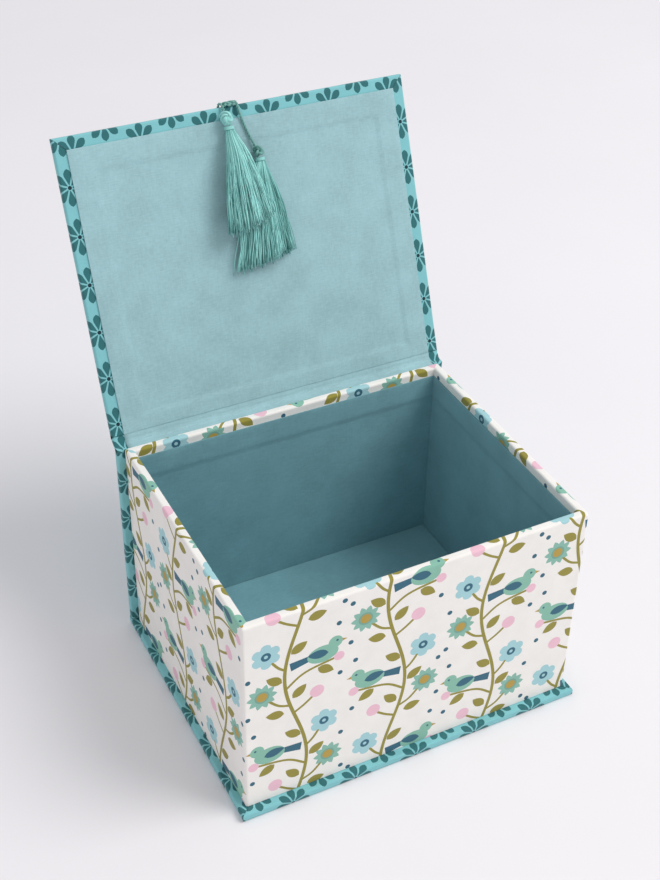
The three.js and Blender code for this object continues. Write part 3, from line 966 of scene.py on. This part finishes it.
def knot_line(middle, reach, turns=(2, 3), steps=120):
    """A closed line that winds as a knot inside an oval. The middle and reach are x, behind, along."""
    around, through = turns
    line = []
    for step in range(steps):
        angle = 2 * math.pi * step / steps
        wide = 0.62 + 0.38 * math.cos(through * angle)
        offset = (wide * math.cos(around * angle), math.sin(through * angle), wide * math.sin(around * angle))
        line.append(in_lid(*(centre + half * share for centre, half, share in zip(middle, reach, offset))))
    return line


def build_knotted_head(tassel, sizes, silk):
    """A ball of looped cord."""
    head = tassel["head"]
    middle = (head["x"], -head["lift"], LID_TIP - head["top"] - head["length"] / 2)
    reach = (head["width"] - 0.55, head["depth"] - 0.55, head["length"] / 2 - 0.5)
    first = tube(knot_line(middle, reach), sizes.cord * 0.42, 8, True)
    second = tube(knot_line(middle, [0.72 * half for half in reach], (3, 5), 200), sizes.cord * 0.36, 8, True)
    points, faces = joined([first, second])
    piece = make_piece(f"{tassel['name']}_knotted_head", points, faces, [silk], smooth=True)
    shade_threads(piece, [0.3 + 0.25 * math.sin(index * 0.37) ** 2 for index in range(len(points))])
    return piece


def build_binding(tassel, silk):
    """Thread wound round the neck, five turns."""
    head, neck = tassel["head"], tassel["skirt"][0]
    top = head_profile(head, 1)[1] - 0.3
    turns, steps = 5, 28
    line = []
    for step in range(turns * steps + 1):
        angle = 2 * math.pi * step / steps
        along = top - 0.15 - 1.3 * step / (turns * steps)
        x = neck[0] + (neck[3] + 0.12) * math.cos(angle)
        lift = neck[1] + (neck[4] + 0.12) * math.sin(angle)
        line.append(in_lid(x, -lift, along))
    points, faces = tube(line, 0.19, 7)
    piece = make_piece(f"{tassel['name']}_neck_binding", points, faces, [silk], smooth=True)
    shade_threads(piece, [0.62] * len(points))
    return piece


def build_skirt(tassel, sizes, silk, dice):
    """Hundreds of threads that hang from the neck and spread into a flat brush."""
    rings = np.array(tassel["skirt"], float)
    top = head_profile(tassel["head"], 1)[1] - 0.3 - 1.6 - 0.1
    steps = 11
    shares = np.linspace(0, 1, steps)
    guide = np.array(smooth_line(rings, 8))
    parts, shades = [], []
    for thread in range(sizes.threads):
        angle = dice.uniform(0, 2 * math.pi)
        reach = math.sqrt(dice.uniform(0.02, 1))
        stray = dice.random() < 0.05
        spread = dice.uniform(1.04, 1.2) if stray else dice.uniform(0.93, 1.02)
        length = rings[-1, 2] * (dice.uniform(0.95, 1.04) if stray else dice.uniform(0.94, 1.0))
        length *= 1 - tassel["trim"] * (reach * math.cos(angle) + 0.4 * (reach * math.cos(angle)) ** 2)
        phase, waves = dice.uniform(0, 6.3), dice.uniform(2, 6.5)
        sway = dice.uniform(0.1, 0.5)
        lag = dice.uniform(-0.09, 0.09)
        line = []
        for share in shares:
            drop = length * share
            x, lift, wide, deep = (np.interp(drop, guide[:, 2], guide[:, column]) for column in (0, 1, 3, 4))
            open_up = 1 + (spread - 1) * share
            bend = sway * min(1, 2 * share) * math.sin(waves * math.pi * share + phase)
            across = math.cos(angle + lag * share) * reach * open_up
            front = math.sin(angle + lag * share) * reach
            line.append(in_lid(x + wide * across + bend, -(lift + deep * front + 0.4 * bend), top - drop))
        parts.append(tube(line, sizes.thread / 2 * dice.uniform(0.7, 1.1), 4))
        # A random place for each thread between the silk's painted shade and its painted sheen
        shade = min(max(dice.gauss(0.5 + 0.15 * math.sin(7 * angle), 0.3), 0), 1)
        shades.extend([shade] * len(parts[-1][0]))
    points, faces = joined(parts)
    piece = make_piece(f"{tassel['name']}_threads", points, faces, [silk], smooth=True)
    shade_threads(piece, shades)
    return piece


class KEEPSAKE_OT_cords(bpy.types.Operator):
    """Lays the two silk cords over the lid's free edge, with the knot that gathers them"""

    bl_idname = "keepsake.cords"
    bl_label = "Cords"

    def execute(self, context):
        sizes = context.scene.keepsake_tassels
        silk = silk_thread("cord silk", context.scene.keepsake_colours.cord)
        for tassel in TASSELS:
            build_cord(tassel, sizes, silk)
        loops = []
        for offset, reach in ((-3.6, (1.9, 1.5, 0.8)), (-1.2, (2.1, 1.4, 0.9))):
            middle = (offset, (LID_FACE + LID_BACK) / 2 - 1.2, LID_TIP + 0.9)
            loops.append(tube(knot_line(middle, reach), sizes.cord * 0.46, 8, True))
        points, faces = joined(loops)
        knot = make_piece("cord_knot", points, faces, [silk], smooth=True)
        shade_threads(knot, [0.45] * len(points))
        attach(knot, "lid")
        return {"FINISHED"}


class KEEPSAKE_OT_tassels(bpy.types.Operator):
    """Makes both tassels thread by thread"""

    bl_idname = "keepsake.tassels"
    bl_label = "Tassels"

    def execute(self, context):
        sizes = context.scene.keepsake_tassels
        colours = context.scene.keepsake_colours
        silk = silk_thread("tassel silk", colours.silk)
        cord_silk = silk_thread("knot silk", colours.cord)
        dice = random.Random(7)
        for tassel in TASSELS:
            name = tassel["name"]
            if tassel["free"]:
                head = build_knotted_head(tassel, sizes, cord_silk)
            else:
                head = build_wrapped_head(tassel, silk)
            binding = build_binding(tassel, silk)
            skirt = build_skirt(tassel, sizes, silk, dice)
            for part, piece in (("head", head), ("binding", binding), ("skirt", skirt)):
                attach(piece, name)
                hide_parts(f"{name}_{part}")
        return {"FINISHED"}


# ---- Coverings ----
def case_inks(colours, tilt):
    tag = "lid" if tilt else "case"
    return [printed_cotton(f"{tag} {ink}", getattr(colours, ink), tilt) for ink in CASE_INKS]


class KEEPSAKE_OT_case(bpy.types.Operator):
    """Covers the base, the spine and the lid with the blossom print"""

    bl_idname = "keepsake.case"
    bl_label = "Case coverings"

    def cover(self, name, node, body, wrap, origin, to_space, inks, sizes, hole=None):
        cloth = FlatCloth()
        wrap.cut(cloth)
        low = np.min([np.min(outline, axis=0) for outline in cloth.outlines], axis=0)
        high = np.max([np.max(outline, axis=0) for outline in cloth.outlines], axis=0)
        print_blossoms(cloth, low, high, *origin)
        if hole:
            cloth.holes.append(hole)
        piece = cloth.sew(name, lambda x, y: to_space(*wrap.fold(x, y)), inks, sizes.cloth, flip=True)
        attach(piece, body)
        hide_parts(node)
        flat = (high - low) * METRES
        return piece, cloth, tuple(float(side) for side in flat)

    def execute(self, context):
        sizes = context.scene.keepsake_cloths
        colours = context.scene.keepsake_colours
        radius, turn = sizes.fold_radius, sizes.turn_in
        inks = case_inks(colours, 0)
        base = BoardWrap(
            BASE_LOW.xy, BASE_HIGH.xy, BOARD_THICKNESS, radius,
            {"left": turn, "right": turn, "low": turn, "high": 0},
        )
        piece, cloth, flat = self.cover(
            "base_covering", "base_cloth", "box", base, (0, BASE_LOW.y),
            lambda x, y, deep: (x, y, deep), inks, sizes,
        )
        cloth.area()

        spine = BoardWrap(
            (SPINE_LOW.x, SPINE_LOW.z + 0.1),
            (SPINE_HIGH.x, box_mm("spine_board")[1].z),
            SPINE_HIGH.y - SPINE_LOW.y,
            radius,
            {"left": turn / 2, "right": turn / 2, "low": 0, "high": 0},
        )
        piece, cloth, flat = self.cover(
            "spine_covering", "spine_cloth", "box", spine, (0, SPINE_LOW.z),
            lambda x, z, deep: (x, SPINE_HIGH.y - deep, z), inks, sizes,
        )
        cloth.area()

        lid_inks = case_inks(colours, LEAN)
        lid = BoardWrap(
            (SPINE_LOW.x, LID_START + 0.3), (SPINE_HIGH.x, LID_TIP), LID_BACK - LID_FACE, radius,
            {"left": turn, "right": turn, "low": 0, "high": turn},
        )
        piece, cloth, flat = self.cover(
            "lid_covering", "lid_cloth", "lid", lid, (0, LID_TIP),
            lambda x, along, deep: in_lid(x, LID_BACK - deep, along), lid_inks, sizes,
            disc(*CORD_HOLE, 1.8, 24),
        )
        joint = self.outer_joint(lid_inks[:2], sizes)
        cloth.area()
        return {"FINISHED"}

    def outer_joint(self, inks, sizes):
        """The same cloth where it crosses from the spine to the lid, slack while the lid is open.
        Its side turn-ins close the gap between the boards' ends."""
        spine_top = box_mm("spine_board")[1].z
        outer = [(SPINE_HIGH.y, spine_top - 1.6), (SPINE_HIGH.y, spine_top - 0.8)]
        inner = [(SPINE_LOW.y, spine_top - 1.6), (SPINE_LOW.y + 0.05, spine_top)]
        outer += [(SPINE_HIGH.y + 0.25, spine_top - 0.15), (SPINE_HIGH.y + 1.3, spine_top - 0.1)]
        inner += [(SPINE_LOW.y + 1.6, spine_top + 0.25), (SPINE_HIGH.y - 0.6, spine_top + 0.25)]
        for along in (0.2, 0.9, 1.8):
            outer.append(in_lid(0, LID_BACK, LID_START + along).yz)
            inner.append(in_lid(0, 0.65, LID_START + along).yz)
        outer, inner = (smooth_line([tuple(point) for point in anchors], 4) for anchors in (outer, inner))
        gaps = [math.dist(a, b) for a, b in zip(outer, outer[1:])]
        runs = [0.0, *np.cumsum(gaps)]
        edge, turn, thickness = SPINE_HIGH.x - sizes.fold_radius, sizes.turn_in / 2, BOARD_THICKNESS
        cloth = FlatCloth()
        cloth.cut([(-edge, 0), (edge, 0), (edge, runs[-1]), (-edge, runs[-1])])
        for run in runs:
            cloth.crease([(-edge, run), (edge, run)])
        steps = edge_runs(sizes.fold_radius, thickness, turn)
        for side in (-1, 1):
            for near, far in zip(steps, steps[1:]):
                near, far = side * (edge + near), side * (edge + far)
                cloth.cut([(near, 0), (far, 0), (far, runs[-1]), (near, runs[-1])])
            for run in runs:
                cloth.crease([(side * edge, run), (side * (edge + steps[-1]), run)])
        reach = edge + steps[-1]
        print_blossoms(cloth, (-reach, 0), (reach, runs[-1]), 0, 0)

        def fold(x, run):
            out, deep = 0, 0
            if abs(x) > edge:
                out, deep = round_board_edge(abs(x) - edge, sizes.fold_radius, thickness)
            place = [
                float(np.interp(run, runs, [point[axis] for point in outer])) * (1 - deep / thickness)
                + float(np.interp(run, runs, [point[axis] for point in inner])) * deep / thickness
                for axis in (0, 1)
            ]
            return math.copysign(edge + out, x) if abs(x) > edge else x, *place

        piece = cloth.sew("outer_joint_covering", fold, [*inks, inks[1]], sizes.cloth, flip=True)
        start = (0, *(METRES * value for value in outer[4]))
        tuple(in_lid(0, LID_BACK - 1, LID_START + 0.3) * METRES)
        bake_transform(piece)
        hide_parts("outer_hinge_cloth")
        return piece


class TrayFold:
    """How one long strip of cloth runs round the tray's four walls and over their rim.

    Along the strip, 0 is the front left corner and the seam is at the back left one."""

    def __init__(self, low, high, wall, corner_radius, rim_radius, rim_run):
        width, depth = high.x - low.x, high.y - low.y
        self.corner_radius = corner_radius
        self.rim_radius = rim_radius
        self.wall = wall
        self.foot = low.z
        self.shoulder = high.z - rim_radius  # where the cloth starts to round over the rim
        x, y = Vector((1, 0)), Vector((0, 1))
        # Each wall: where it starts along the strip, its length, its first corner, its way and the way in.
        self.walls = (
            (-depth, depth, Vector((low.x, high.y)), -y, x),
            (0, width, Vector((low.x, low.y)), x, y),
            (width, depth, Vector((high.x, low.y)), y, -x),
            (width + depth, width, Vector((high.x, high.y)), -x, -y),
        )
        self.length = 2 * (width + depth)
        self.heights = [self.foot] + [self.shoulder + run for run in edge_runs(rim_radius, wall, rim_run)]

    def inset(self, height):
        """How far in from the walls' faces the cloth lies, and at what level."""
        if height <= self.shoulder:
            return 0, height
        out, deep = round_board_edge(height - self.shoulder, self.rim_radius, self.wall)
        return deep, self.shoulder + out

    def cut(self, cloth):
        radius = self.corner_radius
        for start, length, _, _, _ in self.walls:
            trims = [max(radius, self.inset(height)[0]) for height in self.heights]
            rows = [[(start + trim, v), (start + length - trim, v)] for trim, v in zip(trims, self.heights)]
            cloth.cut([row[1] for row in rows] + [row[0] for row in reversed(rows)])
            for row in rows:
                cloth.crease(row)
            end = start + length
            levels = [height for height in self.heights if self.inset(height)[0] < radius - 1e-6]
            spreads = [radius - self.inset(height)[0] for height in levels]
            tip = (end, self.shoulder + self.rim_radius * math.acos(1 - radius / self.rim_radius))
            right = [(end + spread, v) for spread, v in zip(spreads, levels)]
            left = [(end - spread, v) for spread, v in zip(spreads, levels)]
            cloth.cut(right + [tip] + left[::-1])
            for share in (-0.5, 0, 0.5):
                cloth.crease([(end + share * spread, v) for spread, v in zip(spreads, levels)] + [tip])
            for a, b in zip(left, right):
                cloth.crease([a, b])

    def fold(self, along, height):
        inset, level = self.inset(height)
        if along > self.length + self.walls[0][0] + self.corner_radius - 1e-4:
            along -= self.length
        for start, length, corner, way, inwards in self.walls:
            past = along - (start + length)
            if abs(past) < self.corner_radius - 1e-4:
                return self.round_corner(corner + way * length, way, inwards, past, inset, level)
            if start <= along <= start + length:
                place = corner + way * (along - start) + inwards * inset
                return place.x, place.y, level
        raise RuntimeError(f"no wall at {along}")

    def round_corner(self, corner, way, inwards, past, inset, level):
        """On the quarter round between a wall and the next."""
        middle = corner + (inwards - way) * self.corner_radius
        reach = max(self.corner_radius - inset, 0)
        if reach < 1e-6:
            return middle.x, middle.y, level
        turn = math.pi / 4 * (1 + max(-1, min(1, past / reach)))
        place = middle + (-inwards * math.cos(turn) + way * math.sin(turn)) * reach
        return place.x, place.y, level


class KEEPSAKE_OT_tray(bpy.types.Operator):
    """Covers the tray's walls and rim with the sprig and bird print"""

    bl_idname = "keepsake.tray"
    bl_label = "Tray covering"

    def execute(self, context):
        sizes = context.scene.keepsake_cloths
        colours = context.scene.keepsake_colours
        radius = sizes.rim_radius
        fold = TrayFold(TRAY_LOW, TRAY_HIGH, BOARD_THICKNESS, radius, radius, sizes.rim_turn_in)
        cloth = FlatCloth()
        fold.cut(cloth)
        first = math.floor(fold.walls[0][0] / SPRIG_ACROSS) - 1
        last = math.ceil((fold.length - fold.walls[0][1]) / SPRIG_ACROSS) + 1
        for column in range(first, last + 1):
            for row in range(-2, 4):
                foot = SWING_HEIGHT * (row + 0.5 * (column % 2))
                SprigPrinter(cloth, SPRIG_ACROSS * (column + 0.5), foot, -1 if row % 2 else 1).swing()
        inks = [printed_cotton(f"tray {ink}", getattr(colours, ink)) for ink in SPRIG_INKS]
        piece = cloth.sew("tray_covering", fold.fold, inks, sizes.cloth)
        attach(piece, "box")
        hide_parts("tray_cloth")
        flat = (fold.length * METRES, (fold.heights[-1] - fold.heights[0]) * METRES)
        cloth.area()
        return {"FINISHED"}


# ---- Linings ----
class KEEPSAKE_OT_linings(bpy.types.Operator):
    """Lines the lid, the joint, the tray's walls and its floor with plain cloth"""

    bl_idname = "keepsake.linings"
    bl_label = "Linings"

    def execute(self, context):
        sizes = context.scene.keepsake_cloths
        colours = context.scene.keepsake_colours
        # The tray's walls and floor take the lining drawn darker than the lid's: painted shade inside the tray
        upright = lining_cloth("tray lining", colours.tray_lining)
        leaning = lining_cloth("lid lining", colours.lining, LEAN)
        self.line_lid(sizes, leaning)
        self.line_walls(sizes, upright)
        self.line_floor(sizes, upright)
        return {"FINISHED"}

    def line_lid(self, sizes, material):
        half = SPINE_HIGH.x - sizes.lining_inset
        joint_inset = sizes.lining_inset / 3.4  # the lining comes nearer to the joint than to the edges
        low, high = LID_START + joint_inset, LID_TIP - sizes.lining_inset
        step_half = SPINE_HIGH.x - sizes.turn_in
        step_high = LID_TIP - sizes.turn_in

        def place(x, along):
            inside = soft_step(step_half - abs(x)) * soft_step(step_high - along) * soft_step(along - low - 7)
            rounded = 0.12 * (1 - soft_step(min(half - abs(x), along - low, high - along) - 0.6, 0.6))
            sink = sizes.lining_step * inside + 0.05 * ripple(x, along, 1) + rounded
            return in_lid(x, sink + 0.03, along)

        across, up = bordered(evenly(-half, half, 1.1)), bordered(evenly(low, high, 1.1))
        piece = soft_sheet("lid_lining_cloth", across, up, place, material, sizes.lining)
        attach(piece, "lid")
        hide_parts("lid_lining")
        joint = self.line_joint(sizes, material, half, low)
        (high - low) * METRES

    def line_joint(self, sizes, material, half, lining_start):
        """From the tray's back rim over the spine's top and up the lid, to just short of its lining."""
        level = TRAY_HIGH.z - 0.55
        anchors = [
            Vector((0, TRAY_HIGH.y + 0.12, level - 0.5)),
            Vector((0, TRAY_HIGH.y + 0.35, level)),
            Vector((0, HINGE.y - 1.9, level + 0.05)),
            Vector((0, HINGE.y - 0.75, level + 0.35)),
            in_lid(0, 0.15, 0.8),
            in_lid(0, 0.2, LID_START),
            in_lid(0, 0.34, lining_start - 0.5),
            in_lid(0, 0.55, lining_start + 1.6),
        ]
        profile = smooth_line(anchors, 6)
        runs = list(range(len(profile)))

        def place(x, index):
            point = Vector(profile[index])
            return x, point.y, point.z

        piece = soft_sheet("inner_joint_lining", evenly(-half, half, 2.5), runs, place, material, sizes.lining)
        tuple(in_lid(0, 0.12, LID_START + 0.8) * METRES)
        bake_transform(piece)
        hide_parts("inner_hinge_cloth")
        return piece

    def line_walls(self, sizes, material):
        floor = FLOOR_LOW.z - 0.2
        top = TRAY_HIGH.z - sizes.rim_lip
        step = TRAY_HIGH.z - sizes.turn_in
        middle = (TRAY_LOW + TRAY_HIGH) / 2
        half_size = (TRAY_HIGH - TRAY_LOW) / 2
        x, y = Vector((1, 0, 0)), Vector((0, 1, 0))
        walls = {
            "front": (x, y, half_size.x, half_size.y),
            "right": (y, -x, half_size.y, half_size.x),
            "back": (-x, -y, half_size.x, half_size.y),
            "left": (-y, x, half_size.y, half_size.x),
        }
        for seed, (side, (way, inwards, half_length, half_across)) in enumerate(walls.items()):
            half = half_length - BOARD_THICKNESS - (0.05 if side in ("front", "back") else 0.1)
            origin = Vector((middle.x, middle.y, 0)) - inwards * (half_across - BOARD_THICKNESS)

            def place(u, z, way=way, inwards=inwards, origin=origin, seed=seed):
                proud = 0.65 - sizes.lining_step * soft_step(step - z) + 0.05 * ripple(u, z, seed + 2)
                proud -= 0.15 * (1 - soft_step(top - z - 0.5, 0.5))
                return origin + way * u + inwards * proud + Vector((0, 0, z))

            across, up = bordered(evenly(-half, half, 1.6)), bordered(evenly(floor, top, 1.3))
            piece = soft_sheet(f"{side}_lining_cloth", across, up, place, material, sizes.lining, flip=True)
            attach(piece, "box")
            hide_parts(f"{side}_wall_lining")
            flat = (2 * half * METRES, (top - floor) * METRES)

    def line_floor(self, sizes, material):
        turn = 12
        wrap = BoardWrap(
            FLOOR_LOW.xy, FLOOR_HIGH.xy, FLOOR_HIGH.z - FLOOR_LOW.z, 0.7, dict.fromkeys(BoardWrap.SIDES, turn)
        )
        cloth = FlatCloth()
        wrap.cut(cloth)
        piece = cloth.sew(
            "floor_covering",
            lambda x, y: (*wrap.fold(x, y)[:2], FLOOR_HIGH.z - wrap.fold(x, y)[2]),
            [material],
            sizes.lining,
        )
        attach(piece, "box")
        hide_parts("floor_lining")
        cloth.area()


class KEEPSAKE_OT_boards(bpy.types.Operator):
    """Gives the boards under the cloth, and the cords' pasted ends, their own finishes"""

    bl_idname = "keepsake.boards"
    bl_label = "Boards"

    def execute(self, context):
        colours = context.scene.keepsake_colours
        board = raw_greyboard("greyboard", colours.board)
        silk = silk_thread("anchor silk", colours.silk)
        for name, node in frame["nodes"].items():
            if name.endswith(("_board", "_card")):
                finish = board
            elif name == "cord_anchor":
                finish = silk
            else:
                continue
            node.data.materials.clear()
            node.data.materials.append(finish)
        return {"FINISHED"}


class KEEPSAKE_PT_panel(bpy.types.Panel):
    """Lists the box's parts and their sizes and colours"""

    bl_idname = "KEEPSAKE_PT_panel"
    bl_label = "Keepsake Box"
    bl_space_type = "VIEW_3D"
    bl_region_type = "UI"
    bl_category = "Keepsake Box"

    def draw(self, context):
        layout = self.layout
        for settings in SETTINGS:
            group = getattr(context.scene, settings)
            column = layout.column(heading=settings)
            for name in group.__annotations__:
                column.prop(group, name)
        for operator in OPERATORS:
            layout.operator(operator.bl_idname)


SETTINGS = {
    "keepsake_cloths": KeepsakeClothSizes,
    "keepsake_colours": KeepsakeColours,
    "keepsake_tassels": KeepsakeTasselSizes,
    "keepsake_stage": KeepsakeStageSettings,
}
OPERATORS = (
    KEEPSAKE_OT_stage,
    KEEPSAKE_OT_cords,
    KEEPSAKE_OT_tassels,
    KEEPSAKE_OT_case,
    KEEPSAKE_OT_tray,
    KEEPSAKE_OT_linings,
    KEEPSAKE_OT_boards,
)


def register():
    for name, group in SETTINGS.items():
        bpy.utils.register_class(group)
        setattr(bpy.types.Scene, name, PointerProperty(type=group))
    for operator in OPERATORS:
        bpy.utils.register_class(operator)
    bpy.utils.register_class(KEEPSAKE_PT_panel)


def unregister():
    bpy.utils.unregister_class(KEEPSAKE_PT_panel)
    for operator in reversed(OPERATORS):
        bpy.utils.unregister_class(operator)
    for name, group in SETTINGS.items():
        delattr(bpy.types.Scene, name)
        bpy.utils.unregister_class(group)


def main():
    register()
    bpy.ops.keepsake.stage()
    bpy.ops.keepsake.cords()
    bpy.ops.keepsake.tassels()
    bpy.ops.keepsake.case()
    bpy.ops.keepsake.tray()
    bpy.ops.keepsake.linings()
    bpy.ops.keepsake.boards()


if __name__ == "__main__":
    main()
